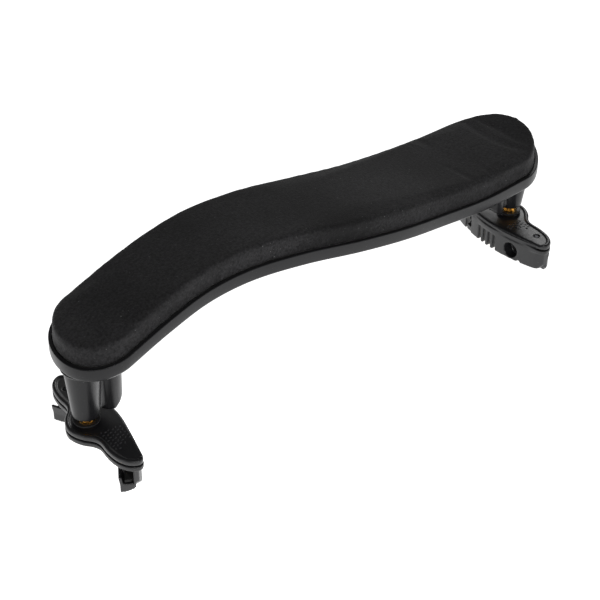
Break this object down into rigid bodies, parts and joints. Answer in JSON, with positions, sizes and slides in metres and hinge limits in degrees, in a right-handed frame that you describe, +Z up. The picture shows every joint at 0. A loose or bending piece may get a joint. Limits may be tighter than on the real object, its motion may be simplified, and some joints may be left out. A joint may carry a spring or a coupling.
{
  "type": "violin shoulder rest",
  "caption": "Padded S-shaped bar that fits under a violin, on two clawed feet whose studs screw in and out of its legs to set the height.",
  "frame": {"origin": "on the standing surface, below the middle of the whole object's box", "axes": "+X along the bar towards its wide, low end; +Y towards the convex side of the bar's high end; +Z up, out of the foam pad"},
  "size_m": [0.217, 0.0582, 0.0565],
  "materials": {
    "black_moulding": "satin moulded black plastic",
    "black_foam": "fine matte closed-cell foam",
    "adhesive_film": "black film",
    "claw_rubber": "matte black rubber",
    "brass": "turned, bright",
    "screw_steel": "blackened",
    "black_nylon": "satin"
  },
  "bodies": {
    "rest": {"bar": "black_moulding", "adhesive_sheet": "adhesive_film", "foam_pad": "black_foam", "left_leg": "black_moulding", "left_leg_screw": "screw_steel", "left_insert": "brass", "right_leg": "black_moulding", "right_leg_screw": "screw_steel", "right_insert": "brass"},
    "left_carrier": {"left_washer": "black_nylon"},
    "left_foot": {"left_foot_plate": "black_moulding", "left_foot_jaw": "black_moulding", "left_stud": "brass", "left_foot_grip_1": "claw_rubber", "left_foot_grip_2": "claw_rubber", "left_foot_pin_1": "screw_steel", "left_foot_pin_2": "screw_steel"},
    "right_carrier": {"right_washer": "black_nylon"},
    "right_foot": {"right_foot_plate": "black_moulding", "right_foot_jaw": "black_moulding", "right_stud": "brass", "right_foot_grip_1": "claw_rubber", "right_foot_grip_2": "claw_rubber", "right_foot_pin_1": "screw_steel", "right_foot_pin_2": "screw_steel"}
  },
  "joints": [
    {"name": "left_height", "type": "slide", "parent": "rest", "child": "left_carrier", "axis": [0, 0, -1], "range_m": [-0.0012, 0.0052]},
    {"name": "left_turn", "type": "hinge", "parent": "left_carrier", "child": "left_foot", "pos_m": [-0.10105, -0.00243, 0.0136], "axis": [0, 0, -1], "range_deg": [-540, 2340]},
    {"name": "right_height", "type": "slide", "parent": "rest", "child": "right_carrier", "axis": [0, 0, -1], "range_m": [-0.002, 0.0044]},
    {"name": "right_turn", "type": "hinge", "parent": "right_carrier", "child": "right_foot", "pos_m": [0.09135, -0.00243, 0.0136], "axis": [0, 0, -1], "range_deg": [-900, 1980]}
  ],
  "couplings": [
    {"joint": "left_height", "follows": "left_turn", "m_per_rad": 0.00012732},
    {"joint": "right_height", "follows": "right_turn", "m_per_rad": 0.00012732}
  ]
}
